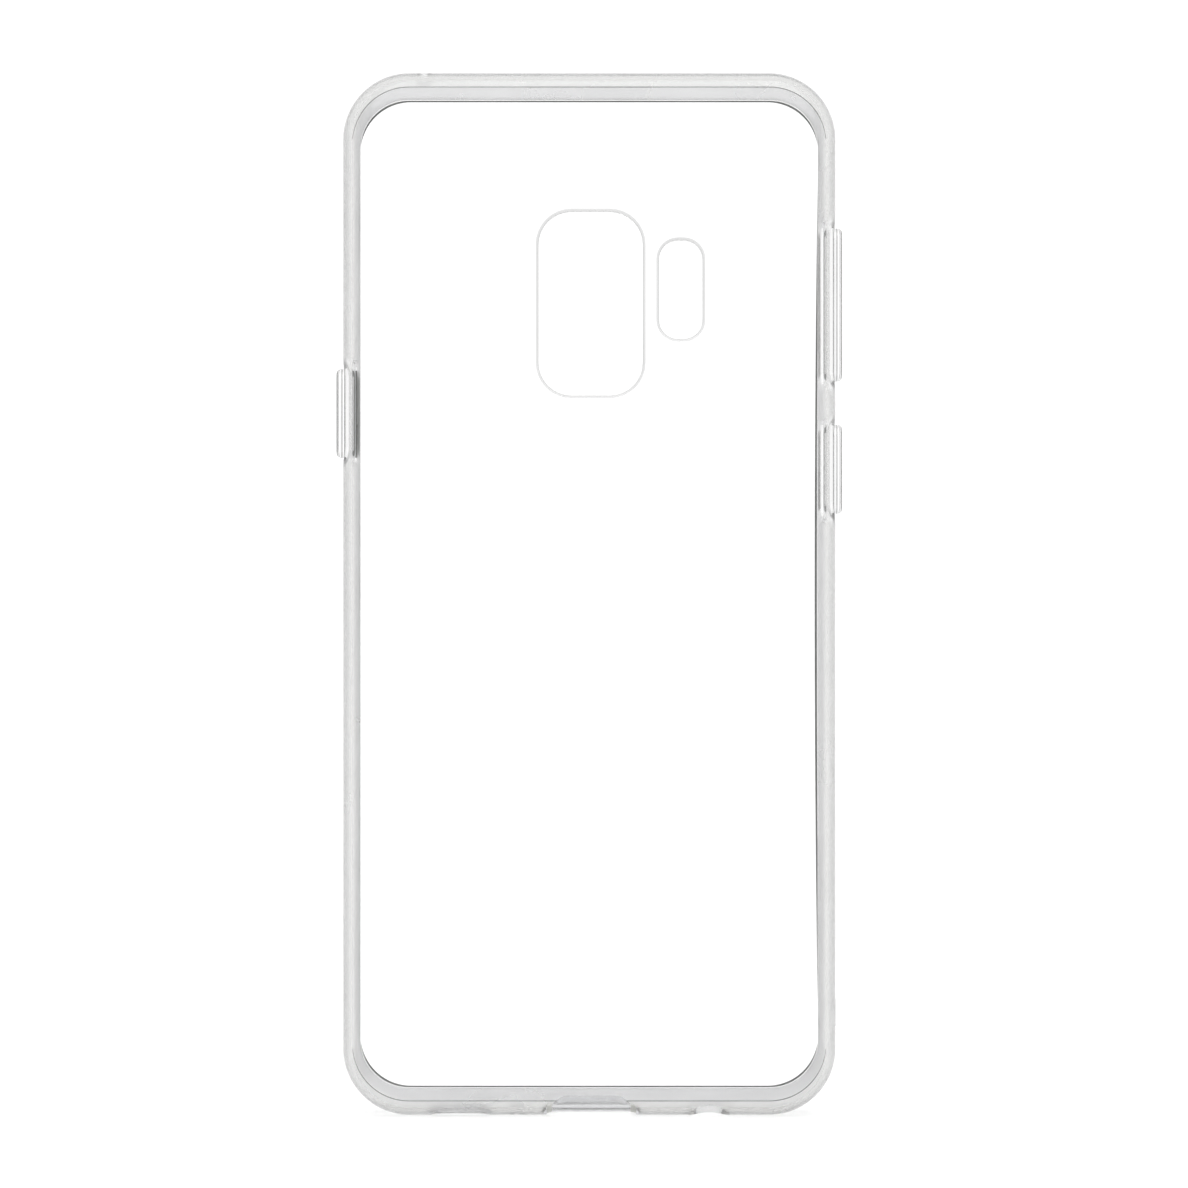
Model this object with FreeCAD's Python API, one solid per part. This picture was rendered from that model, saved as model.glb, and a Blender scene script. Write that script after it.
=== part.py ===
import FreeCAD, Part
import math
import os

# Clear case that a slab handset clips into.
#
# Frame: the case stands on its bottom edge. Z runs up its length, X across its width, Y through its depth.
# The outer back faces -Y and the handset goes in from +Y. The origin is under the middle of the bottom edge.
# All lengths are in millimetres.

Vec = FreeCAD.Vector

# ---- the handset that the case fits ----
HANDSET_WIDTH = 68.7
HANDSET_LENGTH = 147.7
HANDSET_DEPTH = 8.5

# ---- the shell ----
WALL = 1.1
BACK_THICKNESS = 1.2
LIP_RISE = 0.5  # how far the lip stands in front of the handset's glass
CORNER_R = 9.6  # outer corners, seen from the back

HALF_W = HANDSET_WIDTH / 2 + WALL
HALF_L = HANDSET_LENGTH / 2 + WALL
DEPTH = BACK_THICKNESS + HANDSET_DEPTH + LIP_RISE
Y_BACK = -DEPTH / 2
Y_FRONT = DEPTH / 2
Y_FLOOR = Y_BACK + BACK_THICKNESS
Y_GLASS = Y_FRONT - LIP_RISE
POCKET_CORNER_R = CORNER_R - WALL

# ---- the rolled back edge, a quarter ellipse from the flat back round to the wall ----
ROLL_SIDE = 2.75  # its width at the long sides
ROLL_END = 4.35  # its width at the top and bottom
ROLL_DEPTH = 4.3
INNER_ROLL_SIDE = ROLL_SIDE - WALL  # the same sizes inside the pocket, so the shell keeps its thickness
INNER_ROLL_END = ROLL_END - WALL
INNER_ROLL_DEPTH = 3.1
ROLL_STEPS = 6

# ---- the front of the wall ----
FRONT_DRAFT_SIDE = 0.08  # how far the wall leans in by the time it reaches the front
FRONT_DRAFT_END = 0.3
FRONT_EDGE_R = 0.45

# ---- the lip and the side of the pocket under it ----
OPENING_HALF_W = 33.2
OPENING_HALF_L = 71.35
OPENING_CORNER_R = 7.0
LIP_SAG = 0.5  # the soft lip on the +X side has relaxed inwards by this much at mid length
Y_SIDE_CURVE = 1.2  # where the pocket begins to close in over the rounded edge of the glass
Y_UNDER_LIP = 3.6  # where the lip's underside meets the walls in a sharp corner
UNDER_LIP_HALF_W = 33.7
UNDER_LIP_HALF_L = 73.5

# ---- the back plate ----
TONGUE_WIDTH = 0.8  # the plate has a tongue all round, which lies in a groove in the bumper
TONGUE_THICKNESS = 0.3
TONGUE_COVER = 0.6  # how far the tongue lies below the outer back
CUTOUT_EDGE_R = 0.4
CAMERA_CUTOUT = {"x": 0.2, "z": 116.5, "width": 14.9, "length": 26.3, "corner": 4.7}
SENSOR_CUTOUT = {"x": 13.1, "z": 118.5, "width": 6.2, "length": 14.1, "corner": 2.7}

# ---- the buttons: side is -1 for -X and +1 for +X, z is the pad's middle ----
BUTTONS = {
    "power_button": {"side": -1, "z": 100.96, "pad": 12.8, "window": 14.7, "groove": 15.9},
    "volume_button": {"side": 1, "z": 116.6, "pad": 22.0, "window": 23.9, "groove": 26.3},
    "assistant_button": {"side": 1, "z": 92.9, "pad": 12.8, "window": 14.6, "groove": 16.3},
}
BUTTON_Y = 0.3
PAD_WIDTH = 4.0
PAD_PROUD = 0.93
PAD_EDGE_R = 0.6
PAD_CORNER_R = 1.5
WINDOW_WIDTH = 6.0
WINDOW_CORNER_R = 2.4
GROOVE_WIDTH = 6.6
WEB_SINK = 0.3  # how far the web's outer face lies below the wall's widest line
WEB_THICKNESS = 0.45

# ---- openings in the bottom wall ----
USB_X = 0.3
USB_WIDTH = 12.9
USB_DEPTH = 6.7
USB_Y = -0.35
USB_CORNER_R = 2.6
NOTCH_WIDTH = 14.2  # the rolled edge behind the USB window is cut away, with a slope at each end
NOTCH_SHOULDER = 0.9
NOTCH_DEEP = 1.85
JACK_X = 17.2
JACK_Y = 0.1
JACK_R = 3.1
SPEAKER_X = -18.6
SPEAKER_Y = 0.1
SCOOP_WIDTH = 9.2
SCOOP_SHOULDER = 1.2  # each sloping end of the scoop
SCOOP_DEEP = 0.4
SCOOP_DEPTH = 6.2
SPEAKER_SLOT_WIDTH = 7.0
SPEAKER_SLOT_DEPTH = 2.0
BOTTOM_MIC_X = -10.4
BOTTOM_MIC_R = 1.0

# ---- the opening in the top wall ----
TOP_MIC_X = -23.8
TOP_MIC_R = 1.1
MIC_Y = 0.3

# ---- the small grip nib low on the +X side ----
NIB_BOTTOM = 12.95
NIB_TOP = 18.3
NIB_TAPER = 2.6
NIB_PROUD = 0.3
NIB_DEPTH = 3.0

CUT_OVER = 2.0  # cutting tools run this far past what they cut
END_CUT_REACH = 3.3  # openings in the end walls are cut to this height, clear of the roll inside the pocket


def arc(start, middle, end):
    return Part.Arc(start, middle, end).toShape()


def rounded_wire(place, half_a, half_b, corner, sag=0.0):
    """A rounded rectangle. place(a, b) gives the 3-D point. The edge at +a may sag inwards as a long arc."""
    k = corner * (1 - math.sqrt(0.5))
    a0, b0 = half_a - corner, half_b - corner
    right_start, right_end = place(half_a, -b0), place(half_a, b0)
    if sag:
        right = arc(right_start, place(half_a - sag, 0), right_end)
    else:
        right = Part.makeLine(right_start, right_end)
    return Part.Wire(
        [
            Part.makeLine(place(-a0, -half_b), place(a0, -half_b)),
            arc(place(a0, -half_b), place(half_a - k, -half_b + k), right_start),
            right,
            arc(right_end, place(half_a - k, half_b - k), place(a0, half_b)),
            Part.makeLine(place(a0, half_b), place(-a0, half_b)),
            arc(place(-a0, half_b), place(-half_a + k, half_b - k), place(-half_a, b0)),
            Part.makeLine(place(-half_a, b0), place(-half_a, -b0)),
            arc(place(-half_a, -b0), place(-half_a + k, -half_b + k), place(-a0, -half_b)),
        ]
    )


def back_outline(half_w, half_l, corner, y, sag=0.0):
    """An outline parallel to the back, centred on the case."""
    return rounded_wire(lambda a, b: Vec(a, y, HALF_L + b), half_w, half_l, corner, sag)


def side_outline(x, z, length, width, corner):
    """An outline parallel to a long side wall, round a button."""
    return rounded_wire(lambda a, b: Vec(x, BUTTON_Y + a, z + b), width / 2, length / 2, corner)


def loft(wires, smooth=True):
    return Part.makeLoft(wires, True, not smooth)


def prism(wire, vector):
    return Part.Face(wire).extrude(vector)


def joined(solids):
    whole = solids[0]
    for solid in solids[1:]:
        whole = whole.fuse(solid)
    return whole.removeSplitter()


def rolled_edge(half_w, half_l, corner, y_start, side, end, depth):
    """Outlines from the flat back at y_start round a quarter ellipse to the full size, depth further on."""
    wires = []
    for step in range(ROLL_STEPS + 1):
        angle = math.pi / 2 * step / ROLL_STEPS
        inset_w = side * (1 - math.sin(angle))
        inset_l = end * (1 - math.sin(angle))
        y = y_start + depth * (1 - math.cos(angle))
        wires.append(back_outline(half_w - inset_w, half_l - inset_l, corner - inset_w, y))
    return wires


def outer_body():
    """The case as a solid block with its rolled back, near-straight walls and rounded front edge."""
    roll = rolled_edge(HALF_W, HALF_L, CORNER_R, Y_BACK, ROLL_SIDE, ROLL_END, ROLL_DEPTH)
    y_roll = Y_BACK + ROLL_DEPTH
    y_edge = Y_FRONT - FRONT_EDGE_R
    wall = []
    for step in range(ROLL_STEPS + 1):
        share = step / ROLL_STEPS
        lean = share * share
        half_w = HALF_W - FRONT_DRAFT_SIDE * lean
        half_l = HALF_L - FRONT_DRAFT_END * lean
        y = y_roll + (y_edge - y_roll) * share
        wall.append(back_outline(half_w, half_l, CORNER_R, y))
    edge = []
    for step in range(ROLL_STEPS + 1):
        angle = math.pi / 2 * step / ROLL_STEPS
        inset = FRONT_EDGE_R * (1 - math.cos(angle))
        half_w = HALF_W - FRONT_DRAFT_SIDE - inset
        half_l = HALF_L - FRONT_DRAFT_END - inset
        edge.append(back_outline(half_w, half_l, CORNER_R - inset, y_edge + FRONT_EDGE_R * math.sin(angle)))
    return joined([loft(roll), loft(wall), loft(edge)])


def pocket():
    """The room for the handset, out through the opening in the lip."""
    half_w, half_l = HALF_W - WALL, HALF_L - WALL
    floor = rolled_edge(
        half_w, half_l, POCKET_CORNER_R, Y_FLOOR, INNER_ROLL_SIDE, INNER_ROLL_END, INNER_ROLL_DEPTH
    )
    y_roll = Y_FLOOR + INNER_ROLL_DEPTH
    straight = [
        back_outline(half_w, half_l, POCKET_CORNER_R, y_roll),
        back_outline(half_w, half_l, POCKET_CORNER_R, Y_SIDE_CURVE),
    ]
    closing = []
    for step in range(ROLL_STEPS + 1):
        share = step / ROLL_STEPS
        width = half_w - (half_w - UNDER_LIP_HALF_W) * share * share
        length = half_l - (half_l - UNDER_LIP_HALF_L) * share * share
        y = Y_SIDE_CURVE + (Y_UNDER_LIP - Y_SIDE_CURVE) * share
        closing.append(back_outline(width, length, POCKET_CORNER_R, y))
    under_lip = [
        back_outline(UNDER_LIP_HALF_W, UNDER_LIP_HALF_L, POCKET_CORNER_R, Y_UNDER_LIP),
        back_outline(OPENING_HALF_W, OPENING_HALF_L, OPENING_CORNER_R, Y_GLASS, LIP_SAG),
    ]
    opening = prism(
        back_outline(OPENING_HALF_W, OPENING_HALF_L, OPENING_CORNER_R, Y_GLASS, LIP_SAG),
        Vec(0, LIP_RISE + CUT_OVER, 0),
    )
    return joined([loft(floor), loft(straight, False), loft(closing), loft(under_lip, False), opening])


def plate_blank():
    """The back plate without its cut-outs: a flat sheet with a thin tongue all round its edge."""
    half_w, half_l, corner = HALF_W - ROLL_SIDE, HALF_L - ROLL_END, CORNER_R - ROLL_SIDE
    y_tongue = Y_BACK + TONGUE_COVER
    sheet = prism(back_outline(half_w, half_l, corner, Y_BACK), Vec(0, BACK_THICKNESS, 0))
    wide = back_outline(half_w + TONGUE_WIDTH, half_l + TONGUE_WIDTH, corner + TONGUE_WIDTH, y_tongue)
    tongue = prism(wide, Vec(0, TONGUE_THICKNESS, 0))
    return joined([sheet, tongue])


def cutout(size):
    """A rounded opening through the back plate, rounded over where it meets the outer face."""
    half_a, half_b = size["width"] / 2, size["length"] / 2

    def at(y):
        return lambda a, b: Vec(size["x"] + a, y, size["z"] + b)

    hole = prism(
        rounded_wire(at(Y_BACK - CUT_OVER), half_a, half_b, size["corner"]),
        Vec(0, BACK_THICKNESS + 2 * CUT_OVER, 0),
    )
    mouth = []
    for step in range(ROLL_STEPS + 1):
        angle = math.pi / 2 * step / ROLL_STEPS
        grow = CUTOUT_EDGE_R * (1 - math.sin(angle))
        y = Y_BACK + CUTOUT_EDGE_R * (1 - math.cos(angle))
        mouth.append(rounded_wire(at(y), half_a + grow, half_b + grow, size["corner"] + grow))
    return joined([hole, loft(mouth)])


def back_plate():
    return plate_blank().cut(cutout(CAMERA_CUTOUT)).cut(cutout(SENSOR_CUTOUT))


def button_window(button):
    """What a button takes out of the wall: a window right through, and a flared groove round it outside."""
    side, z = button["side"], button["z"]
    inside = side * (HALF_W - 2 * WALL)
    window = prism(
        side_outline(inside, z, button["window"], WINDOW_WIDTH, WINDOW_CORNER_R),
        Vec(side * (2 * WALL + CUT_OVER), 0, 0),
    )
    flared_length = 2 * button["groove"] - button["window"]
    flared_width = 2 * GROOVE_WIDTH - WINDOW_WIDTH
    groove = loft(
        [
            side_outline(side * (HALF_W - WEB_SINK), z, button["window"], WINDOW_WIDTH, WINDOW_CORNER_R),
            side_outline(side * (HALF_W + WEB_SINK), z, flared_length, flared_width, WINDOW_CORNER_R),
        ],
        False,
    )
    return joined([window, groove])


def button_web(button):
    """The thin skin that closes the window and carries the pad."""
    side = button["side"]
    outer = side * (HALF_W - WEB_SINK)
    wire = side_outline(outer, button["z"], button["window"], WINDOW_WIDTH, WINDOW_CORNER_R)
    return prism(wire, Vec(-side * WEB_THICKNESS, 0, 0))


def button_pad(button):
    """The raised pad on the web, with its outer edge rounded over."""
    side, z, length = button["side"], button["z"], button["pad"]
    base = side * (HALF_W - WEB_SINK)
    top = side * (HALF_W + PAD_PROUD)
    shoulder = top - side * PAD_EDGE_R
    block = prism(side_outline(base, z, length, PAD_WIDTH, PAD_CORNER_R), Vec(shoulder - base, 0, 0))
    crown = []
    for step in range(ROLL_STEPS + 1):
        angle = math.pi / 2 * step / ROLL_STEPS
        inset = PAD_EDGE_R * (1 - math.cos(angle))
        x = shoulder + side * PAD_EDGE_R * math.sin(angle)
        crown.append(side_outline(x, z, length - 2 * inset, PAD_WIDTH - 2 * inset, PAD_CORNER_R - inset))
    return joined([block, loft(crown)])


def bottom_slot(x, y, width, depth, corner):
    """A rounded slot straight through the bottom wall."""
    wire = rounded_wire(lambda a, b: Vec(x + a, y + b, -CUT_OVER), width / 2, depth / 2, corner)
    return prism(wire, Vec(0, 0, CUT_OVER + END_CUT_REACH))


def end_recess(x, width, shoulder, deep, y_low, y_high):
    """A recess in the bottom wall, as wide as said at the foot of the wall and with a slope at each end."""
    half = width / 2
    corners = [
        (-half - shoulder, -deep),
        (half + shoulder, -deep),
        (half - shoulder, deep),
        (-half + shoulder, deep),
    ]
    points = [Vec(x + across, y_low, z) for across, z in corners]
    return prism(Part.makePolygon(points + points[:1]), Vec(0, y_high - y_low, 0))


def round_hole(x, y, z, radius, length):
    return Part.makeCylinder(radius, length, Vec(x, y, z), Vec(0, 0, 1))


def nib():
    """The small raised nib, square at its bottom and tapered at its top."""
    root = HALF_W - WALL / 2
    crest = HALF_W + NIB_PROUD
    y = -NIB_DEPTH / 2
    corners = [(root, NIB_BOTTOM), (crest, NIB_BOTTOM), (crest, NIB_TOP - NIB_TAPER), (root, NIB_TOP)]
    points = [Vec(x, y, z) for x, z in corners]
    return prism(Part.makePolygon(points + points[:1]), Vec(0, NIB_DEPTH, 0))


def bumper_frame():
    frame = outer_body().fuse(nib()).cut(pocket()).cut(plate_blank())
    for button in BUTTONS.values():
        frame = frame.cut(button_window(button))
    frame = frame.cut(bottom_slot(USB_X, USB_Y, USB_WIDTH, USB_DEPTH, USB_CORNER_R))
    frame = frame.cut(end_recess(USB_X, NOTCH_WIDTH, NOTCH_SHOULDER, NOTCH_DEEP, Y_BACK - CUT_OVER, USB_Y))
    frame = frame.cut(
        bottom_slot(SPEAKER_X, SPEAKER_Y, SPEAKER_SLOT_WIDTH, SPEAKER_SLOT_DEPTH, SPEAKER_SLOT_DEPTH / 2.01)
    )
    scoop_from, scoop_to = SPEAKER_Y - SCOOP_DEPTH / 2, SPEAKER_Y + SCOOP_DEPTH / 2
    frame = frame.cut(end_recess(SPEAKER_X, SCOOP_WIDTH, SCOOP_SHOULDER, SCOOP_DEEP, scoop_from, scoop_to))
    through = CUT_OVER + END_CUT_REACH
    frame = frame.cut(round_hole(JACK_X, JACK_Y, -CUT_OVER, JACK_R, through))
    frame = frame.cut(round_hole(BOTTOM_MIC_X, MIC_Y, -CUT_OVER, BOTTOM_MIC_R, through))
    frame = frame.cut(round_hole(TOP_MIC_X, MIC_Y, 2 * HALF_L - END_CUT_REACH, TOP_MIC_R, through))
    return frame


def save(name, shape):
    solids = shape.Solids
    if len(solids) != 1 or not shape.isValid():
        raise ValueError(f"{name}: {len(solids)} solids, valid {shape.isValid()}")
    solids[0].exportStep(f"parts/{name}.step")
    box = solids[0].BoundBox
    print(f"{name}: {solids[0].Volume:.1f} mm3, {box.XLength:.2f} x {box.YLength:.2f} x {box.ZLength:.2f} mm")


os.makedirs("parts", exist_ok=True)
save("bumper_frame", bumper_frame())
save("back_plate", back_plate())
for button_name, button_size in BUTTONS.items():
    save(f"{button_name}_pad", button_pad(button_size))
    save(f"{button_name}_web", button_web(button_size))
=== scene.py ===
import math

import bmesh
import bpy
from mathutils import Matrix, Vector
from mathutils.bvhtree import BVHTree
from mathutils.interpolate import poly_3d_calc
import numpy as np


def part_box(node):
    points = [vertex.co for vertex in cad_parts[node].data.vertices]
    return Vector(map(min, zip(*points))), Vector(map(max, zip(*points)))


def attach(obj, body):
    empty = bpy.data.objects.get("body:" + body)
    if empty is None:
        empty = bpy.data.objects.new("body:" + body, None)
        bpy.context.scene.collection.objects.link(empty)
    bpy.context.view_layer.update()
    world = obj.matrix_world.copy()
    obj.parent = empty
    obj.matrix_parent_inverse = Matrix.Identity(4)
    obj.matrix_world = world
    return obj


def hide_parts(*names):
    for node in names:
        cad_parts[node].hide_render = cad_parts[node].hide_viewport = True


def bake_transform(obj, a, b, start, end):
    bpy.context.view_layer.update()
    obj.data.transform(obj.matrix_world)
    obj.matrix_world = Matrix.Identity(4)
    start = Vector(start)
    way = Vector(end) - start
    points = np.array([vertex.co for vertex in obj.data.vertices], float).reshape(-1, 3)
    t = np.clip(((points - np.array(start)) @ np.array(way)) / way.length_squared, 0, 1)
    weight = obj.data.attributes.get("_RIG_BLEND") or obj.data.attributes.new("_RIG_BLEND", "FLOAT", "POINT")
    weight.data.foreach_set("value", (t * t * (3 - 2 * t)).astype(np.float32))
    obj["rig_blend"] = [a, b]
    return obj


# A clear phone case, standing on its bottom edge with its outer back towards the camera.
# Every length below is in millimetres until to_object() turns it into metres.

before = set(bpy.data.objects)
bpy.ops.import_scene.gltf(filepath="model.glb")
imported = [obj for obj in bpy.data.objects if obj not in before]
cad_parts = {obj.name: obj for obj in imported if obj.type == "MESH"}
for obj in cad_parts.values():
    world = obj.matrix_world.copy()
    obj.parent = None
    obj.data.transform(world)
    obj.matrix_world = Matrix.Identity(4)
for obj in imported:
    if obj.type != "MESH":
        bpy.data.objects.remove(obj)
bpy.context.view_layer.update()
MM = 0.001


def node_box(node):
    low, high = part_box(node)
    return low / MM, high / MM


# ---- sizes read from the frame ----
BUMPER_LOW, BUMPER_HIGH = node_box("bumper_frame")
PLATE_HIGH = node_box("back_plate")[1]
HALF_W = -BUMPER_LOW.x
HALF_L = (BUMPER_HIGH.z - BUMPER_LOW.z) / 2
Y_BACK = BUMPER_LOW.y
Y_FRONT = BUMPER_HIGH.y
Y_FLOOR = PLATE_HIGH.y

# ---- the shell's section, as insets from the widest outline ----
WALL = 1.1
CORNER_R = 9.6
ROLL_SIDE, ROLL_END, ROLL_DEPTH = 2.75, 4.35, 4.3
INNER_ROLL_DEPTH = 3.1
FRONT_DRAFT_SIDE, FRONT_DRAFT_END, FRONT_EDGE_R = 0.08, 0.3, 0.45
OPENING_HALF_W, OPENING_HALF_L = 33.2, 71.35
LIP_RISE = 0.5
LIP_EDGE_R = 0.2
LIP_BACK_EDGE_R = LIP_EDGE_R / 2
LINE_WIDTH = 0.33  # the line along the lip's edge: dull, and near black with painted shade
LIP_SAG = 0.5  # how far the lip on the +X side bows inwards at mid length
Y_GLASS = Y_FRONT - LIP_RISE
Y_SIDE_CURVE = 1.2
Y_UNDER_LIP = 3.6
UNDER_LIP_HALF_W, UNDER_LIP_HALF_L = 33.7, 73.5
SEAM_GAP = 0.02

# ---- the back plate's cut-outs: middle x and z, width, length, corner ----
CAMERA_CUTOUT = (0.2, 116.5, 14.9, 26.3, 4.7)
SENSOR_CUTOUT = (13.1, 118.5, 6.2, 14.1, 2.7)
CUTOUT_EDGE_R = 0.4
CUTOUT_OVER_BACK, CUTOUT_OVER_FLOOR = 0.5, 1.0  # how far the cutter runs past the plate
PLATE_RIM = 0.5  # the plate's flat faces have a ring of faces this wide round their edge

# ---- the buttons: side, groove length ----
BUTTONS = {"power_button": (-1, 15.9), "volume_button": (1, 26.3), "assistant_button": (1, 16.3)}
GROOVE_WIDTH = 6.6
WEB_SINK = 0.3  # how far the web's outer face lies below the wall's widest line
WEB_LINE_IN = 0.2  # how far inside the web's margin the ring of painted shade on its inner face lies
WEB_LINE = 0.8  # the width of that ring
WINDOW_CORNER_R = 2.4
PAD_CORNER_R = 1.5
PAD_EDGE_R = 0.6
PAD_BASE_EDGE = 0.05
PAD_FOOT = 0.42  # the height at which the line of painted shade round the pad's foot starts
PAD_FOOT_LINE = 0.1
PAD_RIM = 0.3  # the share of the rounded edge that is dull and darkened with painted shade
PAD_MIDDLE = 0.9  # insets of the last outlines on the pad's two flat faces
PAD_BASE_MIDDLE = 0.6
LEAST_CORNER_R = 0.3

# ---- where the bumper's finish and its painted shade change ----
SATIN_SHADE_FROM_Y = 2.9  # the walls are polished behind this and satin, with a grey tint of painted shade, in front of it
FINE_LINE_AT, FINE_LINE_SPAN = 32.8, 2.4  # degrees up the roll inside the pocket, at the ends of the case: a fine line of painted shade
STRIP_FROM_Y = 3.2  # the near-black strip of painted shadow inside the wall beside each button
STRIP_END = 1.6  # how far short of the web the strip stops at each end

# ---- openings in the end walls: middle x and y, width, depth, corner ----
USB = (0.3, -0.35, 12.9, 6.7, 2.6)
JACK = (17.2, 0.1, 6.2, 6.2, 3.099)
SPEAKER_SLOT = (-18.6, 0.1, 7.0, 2.0, 0.99)
BOTTOM_MIC = (-10.4, 0.3, 2.0, 2.0, 0.999)
TOP_MIC = (-23.8, 0.3, 2.2, 2.2, 1.099)
END_CUT_REACH = 3.3
NOTCH_WIDTH, NOTCH_SHOULDER, NOTCH_DEEP = 14.2, 0.9, 1.85
SCOOP_X, SCOOP_Y = -18.6, 0.1
SCOOP_WIDTH, SCOOP_SHOULDER, SCOOP_DEEP, SCOOP_DEPTH = 9.2, 1.2, 0.4, 6.2
NIB_BOTTOM, NIB_TOP, NIB_TAPER, NIB_PROUD, NIB_DEPTH = 12.95, 18.3, 2.6, 0.3, 3.0
CUT_OVER = 2.0

# ---- how finely each outline is divided ----
SIDE_STEPS = 150
END_STEPS = 60
ARC_STEPS = 24
SMALL_SIDE_STEPS = 8
SMALL_ARC_STEPS = 8

# ---- how many outlines lie across each stretch ----
ROLL_STEPS = 14
WALL_STEPS = 8
FRONT_EDGE_STEPS = 6
LIP_SHARES = (0.1, 0.3, 0.5, 0.7)
LIP_EDGE_STEPS = 4
LIP_BACK_EDGE_STEPS = 3
UNDER_LIP_SHARES = (0.07, 0.14, 0.28, 0.5, 0.75, 1.0)
SIDE_CURVE_STEPS = 6
INNER_ROLL_STEPS = 12
CUTOUT_EDGE_STEPS = 5
PAD_EDGE_STEPS = 8
WEB_MARGIN_STEPS = 6


# ---------------------------------------------------------------- outlines and meshes
def rounded_ring(half_a, half_b, corner, steps_b, steps_a, steps_arc, sag=0.0):
    """Points (a, b) of a rounded rectangle, anticlockwise from the bottom of its +a side."""
    a0, b0 = half_a - corner, half_b - corner
    points = []
    for i in range(steps_b):
        t = 2 * i / steps_b - 1
        points.append((half_a - sag * (1 - t * t), b0 * t))
    for centre_a, centre_b, start, length, steps in (
        (a0, b0, 0, -2 * a0, steps_a),
        (-a0, b0, 90, -2 * b0, steps_b),
        (-a0, -b0, 180, 2 * a0, steps_a),
        (a0, -b0, 270, 0, 0),
    ):
        for i in range(steps_arc):
            angle = math.radians(start + 90 * i / steps_arc)
            points.append((centre_a + corner * math.cos(angle), centre_b + corner * math.sin(angle)))
        end = math.radians(start + 90)
        a1 = centre_a + corner * math.cos(end)
        b1 = centre_b + corner * math.sin(end)
        for i in range(steps):
            share = length * i / steps
            if start == 90:
                points.append((a1, b1 + share))
            else:
                points.append((a1 + share, b1))
    return points


def back_ring(half_w, half_l, corner, y, sag=0.0):
    """A large outline parallel to the back."""
    flat = rounded_ring(half_w, half_l, corner, SIDE_STEPS, END_STEPS, ARC_STEPS, sag)
    return [Vector((a, y, HALF_L + b)) for a, b in flat]


def inset_ring(inset_w, inset_l, y, sag=0.0):
    return back_ring(HALF_W - inset_w, HALF_L - inset_l, CORNER_R - inset_w, y, sag)


def small_ring(place, half_a, half_b, corner):
    """A small outline for a cut-out, a window or a pad. place(a, b) gives the 3-D point."""
    flat = rounded_ring(half_a, half_b, corner, SMALL_SIDE_STEPS, SMALL_SIDE_STEPS, SMALL_ARC_STEPS)
    return [Vector(place(a, b)) for a, b in flat]


def to_object(name, rings, closed=False, zones=None):
    """Skins rings of equal length. A closed skin joins its last ring to its first. An open one gets end
    faces. zones says which material the band after each ring takes."""
    mesh = bmesh.new()
    rows = [[mesh.verts.new(p * MM) for p in ring] for ring in rings]
    count = len(rows[0])
    pairs = list(zip(rows, rows[1:]))
    if closed:
        pairs.append((rows[-1], rows[0]))
    for band, (low, high) in enumerate(pairs):
        for i in range(count):
            j = (i + 1) % count
            face = mesh.faces.new((low[i], low[j], high[j], high[i]))
            face.material_index = zones[band] if zones else 0
    if not closed:
        mesh.faces.new(rows[0])
        mesh.faces.new(rows[-1][::-1])
    bmesh.ops.recalc_face_normals(mesh, faces=mesh.faces)
    data = bpy.data.meshes.new(name)
    mesh.to_mesh(data)
    mesh.free()
    piece = bpy.data.objects.new(name, data)
    bpy.context.scene.collection.objects.link(piece)
    return piece


def settle(piece):
    """Replaces the piece's mesh with the result of its modifiers."""
    view = bpy.context.evaluated_depsgraph_get()
    data = bpy.data.meshes.new_from_object(piece.evaluated_get(view))
    piece.modifiers.clear()
    piece.data = data


def combine(piece, tool, operation):
    """Faces that the tool leaves on the piece are marked CUT_ZONE. The piece has that many material slots."""
    for face in tool.data.polygons:
        face.material_index = CUT_ZONE
    modifier = piece.modifiers.new("combine", "BOOLEAN")
    modifier.operation = operation
    modifier.solver = "EXACT"
    modifier.object = tool
    settle(piece)
    bpy.data.objects.remove(tool)


def mark_sharp(mesh, degrees=32):
    for face in mesh.polygons:
        face.use_smooth = True
    mesh.set_sharp_from_angle(angle=math.radians(degrees))


def smooth(piece):
    mark_sharp(piece.data)
    weighted = piece.modifiers.new("weighted", "WEIGHTED_NORMAL")
    weighted.keep_sharp = True


CORNER_NUDGE = 0.02  # the share by which a corner is moved into its face before the skin is looked up


def graft_normals(piece, skin):
    """Cutting leaves long thin faces in the piece's skin. Their corners take the normals of the skin before
    it was cut, so that it still shades as one smooth surface."""
    mark_sharp(skin)
    mark_sharp(piece.data)
    old_faces = [list(face.vertices) for face in skin.polygons]
    old_points = [vertex.co.copy() for vertex in skin.vertices]
    old_corners = [list(face.loop_indices) for face in skin.polygons]
    old_normals = [corner.vector.copy() for corner in skin.corner_normals]
    tree = BVHTree.FromPolygons(old_points, old_faces)
    normals = [corner.vector.copy() for corner in piece.data.corner_normals]
    for face in piece.data.polygons:
        if face.material_index == CUT_ZONE:
            continue
        for corner in face.loop_indices:
            here = piece.data.vertices[piece.data.loops[corner].vertex_index].co
            spot, _, index, _ = tree.find_nearest(here.lerp(face.center, CORNER_NUDGE))
            weights = poly_3d_calc([old_points[i] for i in old_faces[index]], spot)
            total = Vector((0, 0, 0))
            for weight, old_corner in zip(weights, old_corners[index]):
                total += old_normals[old_corner] * weight
            normals[corner] = total.normalized()
    piece.data.normals_split_custom_set(normals)


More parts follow.
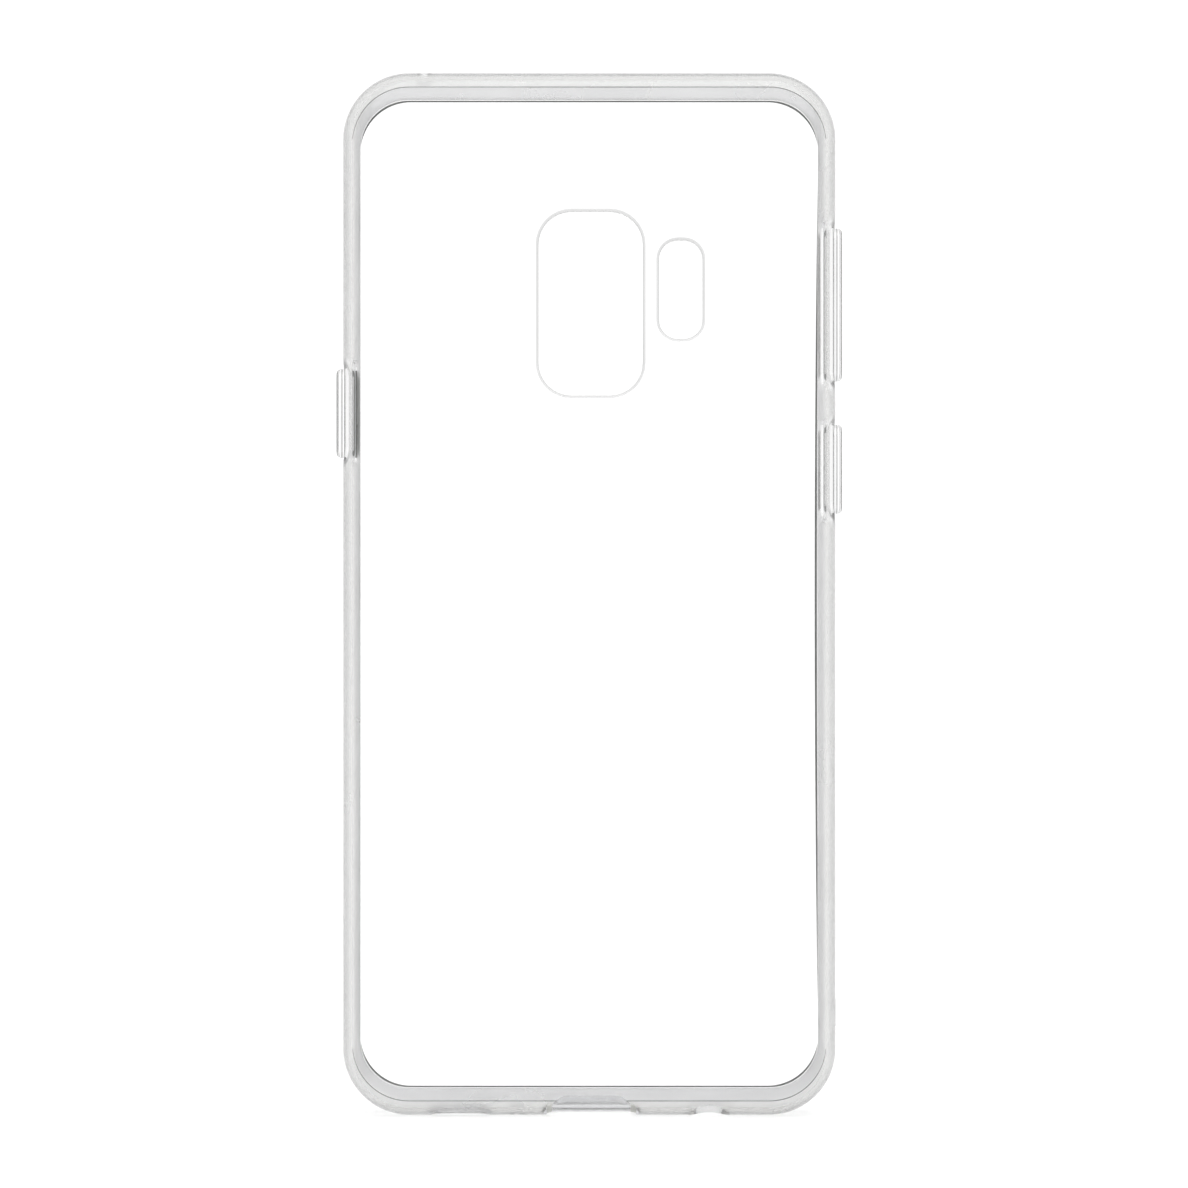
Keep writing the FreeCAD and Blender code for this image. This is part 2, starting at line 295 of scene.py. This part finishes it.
def finish_cuts(piece):
    """Cut faces are polished, except in the end walls: there the ends of the openings are dull with a darker
    olive tint of painted shade, and the rest is satin with its grey painted shade. The front wall of the
    power button's window takes the same painted shadow as the strip next to it."""
    for face in piece.data.polygons:
        x, y, z = face.center / MM
        if face.material_index != CUT_ZONE:
            continue
        in_end_wall = abs(z - HALF_L) > HALF_L - CORNER_R / 2
        if not in_end_wall and -HALF_W + WEB_SINK < x < 0 and y > SATIN_SHADE_FROM_Y:
            face.material_index = STRIP_ZONE
        elif not in_end_wall:
            face.material_index = CLEAR_ZONE
        elif abs(face.normal.x) < MOSTLY:
            face.material_index = SATIN_SHADE_ZONE


def quarter(steps):
    """(sine, 1 - cosine) round a quarter turn."""
    for i in range(steps + 1):
        angle = math.pi / 2 * i / steps
        yield math.sin(angle), 1 - math.cos(angle)


# ---------------------------------------------------------------- the bumper
WALL_ZONE, SATIN_SHADE_ZONE, LINE_ZONE, CLEAR_ZONE, INNER_ZONE, CUT_ZONE, STRIP_ZONE = range(7)
MOSTLY = 0.7  # a face points along an axis when this much of its normal does
ON_FACE = 0.01  # a face this near the front of the lip lies on it


def bumper_rings():
    """The section of the soft bumper, taken all the way round: out over the back edge and in under the lip.
    Returns the rings, and the material zone of the band after each ring."""
    rings = []
    zones = []

    def add(zone, *ring):
        rings.append(inset_ring(*ring))
        zones.append(zone)

    seam_w, seam_l = ROLL_SIDE - SEAM_GAP, ROLL_END - SEAM_GAP
    add(WALL_ZONE, seam_w, seam_l, Y_FLOOR)
    for sine, fall in quarter(ROLL_STEPS):
        add(WALL_ZONE, seam_w * (1 - sine), seam_l * (1 - sine), Y_BACK + ROLL_DEPTH * fall)
    y_roll = Y_BACK + ROLL_DEPTH
    y_edge = Y_FRONT - FRONT_EDGE_R
    for i in range(1, WALL_STEPS + 1):
        share = i / WALL_STEPS
        lean = share * share
        y = y_roll + (y_edge - y_roll) * share
        zone = SATIN_SHADE_ZONE if y > SATIN_SHADE_FROM_Y else WALL_ZONE
        add(zone, FRONT_DRAFT_SIDE * lean, FRONT_DRAFT_END * lean, y)
    for sine, fall in list(quarter(FRONT_EDGE_STEPS))[1:]:
        inset = FRONT_EDGE_R * fall
        y = y_edge + FRONT_EDGE_R * sine
        add(SATIN_SHADE_ZONE, FRONT_DRAFT_SIDE + inset, FRONT_DRAFT_END + inset, y)
    lip_w, lip_l = HALF_W - OPENING_HALF_W, HALF_L - OPENING_HALF_L
    start_w, start_l = FRONT_DRAFT_SIDE + FRONT_EDGE_R, FRONT_DRAFT_END + FRONT_EDGE_R
    for share in LIP_SHARES:
        w = start_w + (lip_w - LIP_EDGE_R - start_w) * share
        length = start_l + (lip_l - LIP_EDGE_R - start_l) * share
        add(SATIN_SHADE_ZONE, w, length, Y_FRONT, LIP_SAG * share)
    add(SATIN_SHADE_ZONE, lip_w - LINE_WIDTH, lip_l - LINE_WIDTH, Y_FRONT, LIP_SAG)
    for sine, fall in quarter(LIP_EDGE_STEPS):
        out = LIP_EDGE_R * (1 - sine)
        add(LINE_ZONE, lip_w - out, lip_l - out, Y_FRONT - LIP_EDGE_R * fall, LIP_SAG)
    for sine, fall in quarter(LIP_BACK_EDGE_STEPS):
        out = LIP_BACK_EDGE_R * fall
        y = Y_GLASS + LIP_BACK_EDGE_R * (1 - sine)
        add(LINE_ZONE, lip_w - out, lip_l - out, y, LIP_SAG)
    zones[-1] = SATIN_SHADE_ZONE
    under_w, under_l = HALF_W - UNDER_LIP_HALF_W, HALF_L - UNDER_LIP_HALF_L
    for share in UNDER_LIP_SHARES:
        w = lip_w + (under_w - lip_w) * share
        length = lip_l + (under_l - lip_l) * share
        add(SATIN_SHADE_ZONE, w, length, Y_GLASS + (Y_UNDER_LIP - Y_GLASS) * share, LIP_SAG * (1 - share))
    for i in range(1, SIDE_CURVE_STEPS + 1):
        share = 1 - i / SIDE_CURVE_STEPS
        w = WALL + (under_w - WALL) * share * share
        length = WALL + (under_l - WALL) * share * share
        y = Y_SIDE_CURVE + (Y_UNDER_LIP - Y_SIDE_CURVE) * share
        add(SATIN_SHADE_ZONE if y > SATIN_SHADE_FROM_Y else INNER_ZONE, w, length, y)
    y_roll = Y_FLOOR + INNER_ROLL_DEPTH
    add(INNER_ZONE, WALL, WALL, (Y_SIDE_CURVE + y_roll) / 2)
    turns = [90 * i / INNER_ROLL_STEPS for i in range(1, INNER_ROLL_STEPS + 1)]
    turns += [FINE_LINE_AT, FINE_LINE_AT + FINE_LINE_SPAN]
    for turn in sorted(turns, reverse=True):
        inwards = 1 - math.sin(math.radians(turn))
        y = Y_FLOOR + INNER_ROLL_DEPTH * (1 - math.cos(math.radians(turn)))
        zone = LINE_ZONE if turn == FINE_LINE_AT + FINE_LINE_SPAN else INNER_ZONE
        add(zone, WALL + (seam_w - WALL) * inwards, WALL + (seam_l - WALL) * inwards, y)
    return rings, zones


def window_cutter(node, side, groove_length):
    """A window through the side wall, flaring outside into a shallow groove."""
    low, high = node_box(node + "_web")
    mid_y, mid_z = (low.y + high.y) / 2, (low.z + high.z) / 2
    half_y, half_z = (high.y - low.y) / 2 + SEAM_GAP, (high.z - low.z) / 2 + SEAM_GAP
    face = high.x if side > 0 else low.x
    surface = side * HALF_W
    grow_y, grow_z = GROOVE_WIDTH / 2 - half_y, groove_length / 2 - half_z

    def ring(x, share):
        return small_ring(
            lambda a, b: (x, mid_y + a, mid_z + b),
            half_y + grow_y * share,
            half_z + grow_z * share,
            WINDOW_CORNER_R,
        )

    return to_object(
        node + "_cutter",
        [ring(side * (HALF_W - 2 * WALL), 0), ring(face, 0), ring(2 * surface - face, 2)],
    )


def end_cutter(name, size, z_low, z_high):
    x, y, width, depth, corner = size

    def ring(z):
        return small_ring(lambda a, b: (x + a, y + b, z), width / 2, depth / 2, corner)

    return to_object(name, [ring(z_low), ring(z_high)])


def bar(name, corners, y_low, y_high):
    """A bar along Y with the given (x, z) corners."""
    return to_object(name, [[Vector((x, y, z)) for x, z in corners] for y in (y_low, y_high)])


def end_recess(name, x, width, shoulder, deep, y_low, y_high):
    """A recess in the bottom wall, with a slope at each end."""
    half = width / 2
    corners = [
        (x - half - shoulder, -deep),
        (x + half + shoulder, -deep),
        (x + half - shoulder, deep),
        (x - half + shoulder, deep),
    ]
    return bar(name, corners, y_low, y_high)


def lip_overhang(x, z):
    """How far a point under the lip lies behind the lip's edge."""
    corner = CORNER_R - (HALF_W - OPENING_HALF_W)
    along = (z - HALF_L) / (OPENING_HALF_L - corner)
    half_w = OPENING_HALF_W - (LIP_SAG * max(1 - along * along, 0) if x > 0 else 0)
    out_x, out_z = abs(x) - (half_w - corner), abs(z - HALF_L) - (OPENING_HALF_L - corner)
    if out_x > 0 and out_z > 0:
        return math.hypot(out_x, out_z) - corner
    return max(out_x, out_z) - corner


def mark_lip(mesh):
    """The underside next to the lip's edge is dull and near black with painted shade. Inside the wall beside
    each button it has a wider, darker strip of painted shadow, and the wall and the lip are polished behind
    and in front of the groove.
    The fine line of painted shade low in the pocket is kept at the ends of the case only."""
    windows = []
    for node, (side, _) in BUTTONS.items():
        low, high = node_box(node + "_web")
        windows.append((side, low.z, high.z))
    for face in mesh.polygons:
        x, y, z = face.center / MM
        under_lip = face.material_index == SATIN_SHADE_ZONE and Y_UNDER_LIP < y < Y_GLASS
        if under_lip and lip_overhang(x, z) < LINE_WIDTH:
            face.material_index = LINE_ZONE
        if face.material_index == LINE_ZONE and y < 0 and abs(z - HALF_L) < HALF_L - CORNER_R:
            face.material_index = INNER_ZONE
        for side, low_z, high_z in windows:
            out = x * side
            if not (out > OPENING_HALF_W and low_z < z < high_z):
                continue
            on_lip = y > Y_FRONT - ON_FACE and UNDER_LIP_HALF_W < out < HALF_W - WEB_SINK
            inside_wall = STRIP_FROM_Y < y < Y_GLASS and out < HALF_W - WALL / 2
            if on_lip or y < -GROOVE_WIDTH / 2:
                face.material_index = CLEAR_ZONE
            elif inside_wall and low_z + STRIP_END < z < high_z - STRIP_END:
                face.material_index = STRIP_ZONE


def make_bumper(materials):
    rings, zones = bumper_rings()
    bumper = to_object("soft_bumper", rings, closed=True, zones=zones)
    mark_lip(bumper.data)
    for material in materials:
        bumper.data.materials.append(material)
    skin = bumper.data.copy()
    root, crest = HALF_W - WALL / 2, HALF_W + NIB_PROUD
    corners = [(root, NIB_BOTTOM), (crest, NIB_BOTTOM), (crest, NIB_TOP - NIB_TAPER), (root, NIB_TOP)]
    combine(bumper, bar("nib", corners, -NIB_DEPTH / 2, NIB_DEPTH / 2), "UNION")
    for node, (side, groove) in BUTTONS.items():
        combine(bumper, window_cutter(node, side, groove), "DIFFERENCE")
    for name, size in {"usb": USB, "jack": JACK, "speaker": SPEAKER_SLOT, "microphone": BOTTOM_MIC}.items():
        combine(bumper, end_cutter(name, size, -CUT_OVER, END_CUT_REACH), "DIFFERENCE")
    top = 2 * HALF_L
    combine(bumper, end_cutter("top_microphone", TOP_MIC, top - END_CUT_REACH, top + CUT_OVER), "DIFFERENCE")
    scoop_from, scoop_to = SCOOP_Y - SCOOP_DEPTH / 2, SCOOP_Y + SCOOP_DEPTH / 2
    scoop = end_recess("scoop", SCOOP_X, SCOOP_WIDTH, SCOOP_SHOULDER, SCOOP_DEEP, scoop_from, scoop_to)
    combine(bumper, scoop, "DIFFERENCE")
    notch = end_recess("notch", USB[0], NOTCH_WIDTH, NOTCH_SHOULDER, NOTCH_DEEP, Y_BACK - CUT_OVER, USB[1])
    combine(bumper, notch, "DIFFERENCE")
    graft_normals(bumper, skin)
    finish_cuts(bumper)
    return bumper


# ---------------------------------------------------------------- the back plate
def cutout_cutter(name, size):
    x, z, width, length, corner = size

    def ring(y, grow):
        return small_ring(lambda a, b: (x + a, y, z + b), width / 2 + grow, length / 2 + grow, corner + grow)

    rings = [ring(Y_BACK - CUTOUT_OVER_BACK, CUTOUT_EDGE_R)]
    for sine, fall in quarter(CUTOUT_EDGE_STEPS):
        rings.append(ring(Y_BACK + CUTOUT_EDGE_R * fall, CUTOUT_EDGE_R * (1 - sine)))
    rings.append(ring(Y_FLOOR + CUTOUT_OVER_FLOOR, 0))
    return to_object(name, rings)


def make_plate(materials):
    rings = []
    for inset, y in ((PLATE_RIM, Y_BACK), (0, Y_BACK), (0, Y_FLOOR), (PLATE_RIM, Y_FLOOR)):
        rings.append(inset_ring(ROLL_SIDE + inset, ROLL_END + inset, y))
    plate = to_object("clear_back_plate", rings)
    for material in materials:
        plate.data.materials.append(material)
    skin = plate.data.copy()
    combine(plate, cutout_cutter("camera", CAMERA_CUTOUT), "DIFFERENCE")
    combine(plate, cutout_cutter("sensor", SENSOR_CUTOUT), "DIFFERENCE")
    graft_normals(plate, skin)
    finish_cuts(plate)
    return plate


# ---------------------------------------------------------------- the buttons
def make_pad(node, side):
    low, high = node_box(node + "_pad")
    mid_y, mid_z = (low.y + high.y) / 2, (low.z + high.z) / 2
    half_y, half_z = (high.y - low.y) / 2, (high.z - low.z) / 2
    base = (low.x if side > 0 else high.x) + side * SEAM_GAP
    top = high.x if side > 0 else low.x

    def ring(x, inset):
        corner = max(PAD_CORNER_R - inset, LEAST_CORNER_R)
        return small_ring(lambda a, b: (x, mid_y + a, mid_z + b), half_y - inset, half_z - inset, corner)

    rings = [ring(base, PAD_BASE_MIDDLE), ring(base, PAD_BASE_EDGE), ring(base + side * PAD_BASE_EDGE, 0)]
    rings += [ring(base + side * PAD_FOOT, 0), ring(base + side * (PAD_FOOT + PAD_FOOT_LINE), 0)]
    zones = [WALL_ZONE, WALL_ZONE, WALL_ZONE, LINE_ZONE, WALL_ZONE]
    for sine, fall in quarter(PAD_EDGE_STEPS):
        rings.append(ring(top - side * PAD_EDGE_R * (1 - sine), PAD_EDGE_R * fall))
        zones.append(LINE_ZONE if 1 - sine < PAD_RIM else WALL_ZONE)
    rings.append(ring(top, PAD_MIDDLE))
    pad = to_object(node + "_cap", rings, zones=zones)
    smooth(pad)
    return pad


def make_web(node, side):
    """The skin round a pad. Its outer edge stays with the case, and its middle moves with the pad."""
    low, high = node_box(node + "_web")
    pad_low, pad_high = node_box(node + "_pad")
    mid_y, mid_z = (low.y + high.y) / 2, (low.z + high.z) / 2
    half_y, half_z = (high.y - low.y) / 2, (high.z - low.z) / 2
    margin = half_y - (pad_high.y - pad_low.y) / 2
    rings = []

    def ring(x, inset):
        corner = max(WINDOW_CORNER_R - inset, LEAST_CORNER_R)
        return small_ring(lambda a, b: (x, mid_y + a, mid_z + b), half_y - inset, half_z - inset, corner)

    inner, outer = (low.x, high.x) if side > 0 else (high.x, low.x)
    across = [margin * i / WEB_MARGIN_STEPS for i in range(WEB_MARGIN_STEPS + 1)]
    for inset in [margin + WEB_LINE_IN + WEB_LINE, margin + WEB_LINE_IN] + across[::-1]:
        rings.append(ring(inner, inset))
    for inset in across:
        rings.append(ring(outer, inset))
    zones = [LINE_ZONE] + [WALL_ZONE] * (len(rings) - 1)
    web = to_object(node + "_skin", rings, zones=zones)
    smooth(web)
    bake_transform(web, "case", node, start=(0, 0, 0), end=(0, 0, 1))
    share = web.data.attributes["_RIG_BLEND"].data
    for vertex in web.data.vertices:
        y, z = vertex.co.y / MM - mid_y, vertex.co.z / MM - mid_z
        outside_y, outside_z = abs(y) - (half_y - WINDOW_CORNER_R), abs(z) - (half_z - WINDOW_CORNER_R)
        if outside_y > 0 and outside_z > 0:
            depth = WINDOW_CORNER_R - math.hypot(outside_y, outside_z)
        else:
            depth = WINDOW_CORNER_R - max(outside_y, outside_z)
        reach = min(max(depth / margin, 0.0), 1.0)
        share[vertex.index].value = reach * reach * (3 - 2 * reach)
    return web


# ---------------------------------------------------------------- materials
PLASTIC_IOR = 1.46
CLOUD_SCALE, CLOUD_DETAIL = 90.0, 4.0
CLOUD_FROM, CLOUD_TO = 0.3, 0.7  # the noise levels at which the colour is all shade and all tint
GLOSS_LEAST, GLOSS_MOST = 0.6, 1.4  # the gloss varies between these multiples of the roughness
RIPPLE_DETAIL = 2.0
EDGE_FROM, EDGE_TO = 0.05, 0.6  # how edge-on a surface is where the edge tint starts and where it is full
SHADOW = 0.97  # how much light a surface of the case lets through into its shadow


def clear_plastic(name, tint, shade, roughness, ripple_height=0.01, ripple_scale=60.0, edge_tint=None):
    """Clear moulded plastic: a faint cloudy tint, slightly uneven gloss and a soft ripple in the surface.
    edge_tint is its colour where it is seen edge-on, through more of it."""
    material = bpy.data.materials.new(name)
    material.use_nodes = True
    tree = material.node_tree
    tree.nodes.clear()
    add = tree.nodes.new
    link = tree.links.new
    place = add("ShaderNodeTexCoord")
    cloud = add("ShaderNodeTexNoise")
    cloud.inputs["Scale"].default_value = CLOUD_SCALE
    cloud.inputs["Detail"].default_value = CLOUD_DETAIL
    link(place.outputs["Object"], cloud.inputs["Vector"])
    tone = add("ShaderNodeValToRGB")
    tone.color_ramp.elements[0].position = CLOUD_FROM
    tone.color_ramp.elements[0].color = (*shade, 1)
    tone.color_ramp.elements[1].position = CLOUD_TO
    tone.color_ramp.elements[1].color = (*tint, 1)
    link(cloud.outputs["Fac"], tone.inputs["Fac"])
    gloss = add("ShaderNodeMapRange")
    gloss.inputs["To Min"].default_value = roughness * GLOSS_LEAST
    gloss.inputs["To Max"].default_value = roughness * GLOSS_MOST
    link(cloud.outputs["Fac"], gloss.inputs["Value"])
    ripple = add("ShaderNodeTexNoise")
    ripple.inputs["Scale"].default_value = ripple_scale
    ripple.inputs["Detail"].default_value = RIPPLE_DETAIL
    link(place.outputs["Object"], ripple.inputs["Vector"])
    bump = add("ShaderNodeBump")
    bump.inputs["Distance"].default_value = ripple_height * MM
    bump.inputs["Strength"].default_value = 1.0
    link(ripple.outputs["Fac"], bump.inputs["Height"])
    plastic = add("ShaderNodeBsdfPrincipled")
    plastic.inputs["Transmission Weight"].default_value = 1.0
    plastic.inputs["IOR"].default_value = PLASTIC_IOR
    if edge_tint:
        slope = add("ShaderNodeLayerWeight")
        slope.inputs["Blend"].default_value = 0.5
        depth = add("ShaderNodeMapRange")
        depth.interpolation_type = "SMOOTHSTEP"
        depth.inputs["From Min"].default_value = EDGE_FROM
        depth.inputs["From Max"].default_value = EDGE_TO
        link(slope.outputs["Facing"], depth.inputs["Value"])
        through = add("ShaderNodeMix")
        through.data_type = "RGBA"
        link(depth.outputs["Result"], through.inputs["Factor"])
        link(tone.outputs["Color"], through.inputs["A"])
        through.inputs["B"].default_value = (*edge_tint, 1)
        link(through.outputs["Result"], plastic.inputs["Base Color"])
    else:
        link(tone.outputs["Color"], plastic.inputs["Base Color"])
    link(gloss.outputs["Result"], plastic.inputs["Roughness"])
    link(bump.outputs["Normal"], plastic.inputs["Normal"])
    rays = add("ShaderNodeLightPath")
    shadow = add("ShaderNodeBsdfTransparent")
    shadow.inputs["Color"].default_value = (SHADOW, SHADOW, SHADOW, 1)
    mix = add("ShaderNodeMixShader")
    link(rays.outputs["Is Shadow Ray"], mix.inputs["Fac"])
    link(plastic.outputs["BSDF"], mix.inputs[1])
    link(shadow.outputs["BSDF"], mix.inputs[2])
    out = add("ShaderNodeOutputMaterial")
    link(mix.outputs["Shader"], out.inputs["Surface"])
    return material


# ---------------------------------------------------------------- the studio
# degrees from the line of sight, and how bright the studio is there
STUDIO_STOPS = ((0, 1.0), (14, 1.0), (24, 0.88), (45, 0.84), (90, 0.8), (125, 0.66), (180, 0.55))
WORLD_STRENGTH = 1.13
FLOOR_PAINT = 0.98
FLOOR_REACH = 20.0  # metres
SUN_ENERGY = 1.3
SUN_SPREAD = 70
SUN_TILT, SUN_LEAN = 38, 6
CAMERA_PLACE = (0.00068, -0.642, HALF_L * MM)  # metres
CAMERA_LENS, CAMERA_SENSOR = 135.0, 36.0
CAMERA_NEAR, CAMERA_FAR = 0.01, 100.0  # metres


def brightness_nodes(tree, ahead):
    """Brightness by angle from the line of sight: a white field straight ahead that falls to grey at the
    sides. ahead is the cosine of that angle."""
    add = tree.nodes.new
    link = tree.links.new
    angle = add("ShaderNodeMath")
    angle.operation = "ARCCOSINE"
    link(ahead, angle.inputs[0])
    share = add("ShaderNodeMath")
    share.operation = "DIVIDE"
    share.inputs[1].default_value = math.pi
    link(angle.outputs["Value"], share.inputs[0])
    ramp = add("ShaderNodeValToRGB")
    while len(ramp.color_ramp.elements) < len(STUDIO_STOPS):
        ramp.color_ramp.elements.new(0.5)
    for element, (degrees, level) in zip(ramp.color_ramp.elements, STUDIO_STOPS):
        element.position = degrees / 180
        element.color = (level, level, level, 1)
    link(share.outputs["Value"], ramp.inputs["Fac"])
    return ramp.outputs["Color"]


def depth_share(tree, vector):
    """The z share of a vector's direction."""
    unit = tree.nodes.new("ShaderNodeVectorMath")
    unit.operation = "NORMALIZE"
    tree.links.new(vector, unit.inputs[0])
    split = tree.nodes.new("ShaderNodeSeparateXYZ")
    tree.links.new(unit.outputs["Vector"], split.inputs["Vector"])
    return split.outputs["Z"]


def make_world():
    world = bpy.data.worlds.new("studio")
    bpy.context.scene.world = world
    world.use_nodes = True
    tree = world.node_tree
    tree.nodes.clear()
    place = tree.nodes.new("ShaderNodeTexCoord")
    back = tree.nodes.new("ShaderNodeBackground")
    back.inputs["Strength"].default_value = WORLD_STRENGTH
    level = brightness_nodes(tree, depth_share(tree, place.outputs["Camera"]))
    tree.links.new(level, back.inputs["Color"])
    out = tree.nodes.new("ShaderNodeOutputWorld")
    tree.links.new(back.outputs["Background"], out.inputs["Surface"])


def make_floor():
    """A pale floor that is as bright, seen at any angle, as the studio behind it."""
    mesh = bpy.data.meshes.new("floor")
    corners = [(a * FLOOR_REACH, b * FLOOR_REACH, 0) for a, b in ((-1, -1), (1, -1), (1, 1), (-1, 1))]
    mesh.from_pydata(corners, [], [(0, 1, 2, 3)])
    floor = bpy.data.objects.new("floor", mesh)
    bpy.context.scene.collection.objects.link(floor)
    material = bpy.data.materials.new("pale_floor")
    material.use_nodes = True
    tree = material.node_tree
    tree.nodes.clear()
    here = tree.nodes.new("ShaderNodeNewGeometry")
    turn = tree.nodes.new("ShaderNodeVectorTransform")
    turn.vector_type = "VECTOR"
    turn.convert_from = "WORLD"
    turn.convert_to = "CAMERA"
    tree.links.new(here.outputs["Incoming"], turn.inputs["Vector"])
    ahead = tree.nodes.new("ShaderNodeMath")
    ahead.operation = "MULTIPLY"
    ahead.inputs[1].default_value = -1.0
    tree.links.new(depth_share(tree, turn.outputs["Vector"]), ahead.inputs[0])
    level = tree.nodes.new("ShaderNodeVectorMath")
    level.operation = "SCALE"
    level.inputs["Scale"].default_value = FLOOR_PAINT
    tree.links.new(brightness_nodes(tree, ahead.outputs["Value"]), level.inputs[0])
    paint = tree.nodes.new("ShaderNodeBsdfDiffuse")
    tree.links.new(level.outputs["Vector"], paint.inputs["Color"])
    out = tree.nodes.new("ShaderNodeOutputMaterial")
    tree.links.new(paint.outputs["BSDF"], out.inputs["Surface"])
    mesh.materials.append(material)


def make_lights():
    sun = bpy.data.lights.new("overhead", "SUN")
    sun.energy = SUN_ENERGY
    sun.angle = math.radians(SUN_SPREAD)
    lamp = bpy.data.objects.new("overhead", sun)
    lamp.rotation_euler = (math.radians(SUN_TILT), math.radians(SUN_LEAN), 0)
    bpy.context.scene.collection.objects.link(lamp)


def make_camera():
    camera = bpy.data.cameras.new("camera")
    camera.lens = CAMERA_LENS
    camera.sensor_width = CAMERA_SENSOR
    camera.clip_start = CAMERA_NEAR
    camera.clip_end = CAMERA_FAR
    holder = bpy.data.objects.new("camera", camera)
    holder.location = CAMERA_PLACE
    holder.rotation_euler = (math.pi / 2, 0, 0)
    bpy.context.scene.collection.objects.link(holder)
    bpy.context.scene.camera = holder


# ---------------------------------------------------------------- putting it together
SOFT_EDGE_TINT = (0.8, 0.802, 0.792)
soft = clear_plastic(
    "clear_soft_plastic", (0.99, 0.99, 0.985), (0.95, 0.95, 0.94), 0.03, 0.02, edge_tint=SOFT_EDGE_TINT
)
# Satin, with a grey tint that is painted shade.
satin_with_shade = clear_plastic("satin_painted_shade_plastic", (0.66, 0.662, 0.673), (0.61, 0.612, 0.623), 0.22)
inner = clear_plastic("inner_soft_plastic", (1.0, 1.0, 0.995), (0.97, 0.97, 0.965), 0.3)
# Painted shade: a near-black tint for the dark lines along the lip's edge, low in the pocket and round the
# button webs.
line = clear_plastic("painted_shade_edge", (0.05, 0.052, 0.048), (0.01, 0.011, 0.01), 0.3)
# Painted shadow: a near-black tint for the strip inside the wall beside each button.
strip = clear_plastic("painted_shadow_strip", (0.012, 0.013, 0.012), (0.002, 0.002, 0.002), 0.3)
# Partly painted shade: the ends of the end-wall openings are dull, and tinted darker olive grey.
port_edge = clear_plastic("port_edge", (0.6, 0.6, 0.55), (0.4, 0.4, 0.35), 0.4)
hard = clear_plastic("clear_hard_plastic", (1.0, 1.0, 1.0), (0.995, 0.995, 0.996), 0.01, 0.0, 25.0)
cut_edge = clear_plastic("cut_edge", (0.6, 0.6, 0.6), (0.5, 0.5, 0.5), 0.12)
button = clear_plastic("clear_button_plastic", (1.0, 1.0, 1.0), (0.97, 0.97, 0.975), 0.02)
# Painted shade: a dark tint for the line round each pad's rounded edge and foot.
pad_line = clear_plastic("button_edge", (0.24, 0.24, 0.235), (0.13, 0.13, 0.127), 0.25)

# each piece's materials are in the order of the zones
bumper_piece = make_bumper([soft, satin_with_shade, line, hard, inner, port_edge, strip])
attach(bumper_piece, "case")
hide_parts("bumper_frame")

plate_piece = make_plate([hard, hard, hard, cut_edge, hard, cut_edge])
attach(plate_piece, "case")
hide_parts("back_plate")

for button_name, (button_side, _) in BUTTONS.items():
    pad_piece = make_pad(button_name, button_side)
    for pad_material in (button, satin_with_shade, pad_line):
        pad_piece.data.materials.append(pad_material)
    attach(pad_piece, button_name)
    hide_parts(button_name + "_pad")
    web_piece = make_web(button_name, button_side)
    for web_material in (inner, satin_with_shade, line):
        web_piece.data.materials.append(web_material)
    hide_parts(button_name + "_web")

make_world()
make_floor()
make_lights()
make_camera()
bpy.context.scene.view_settings.view_transform = "Standard"
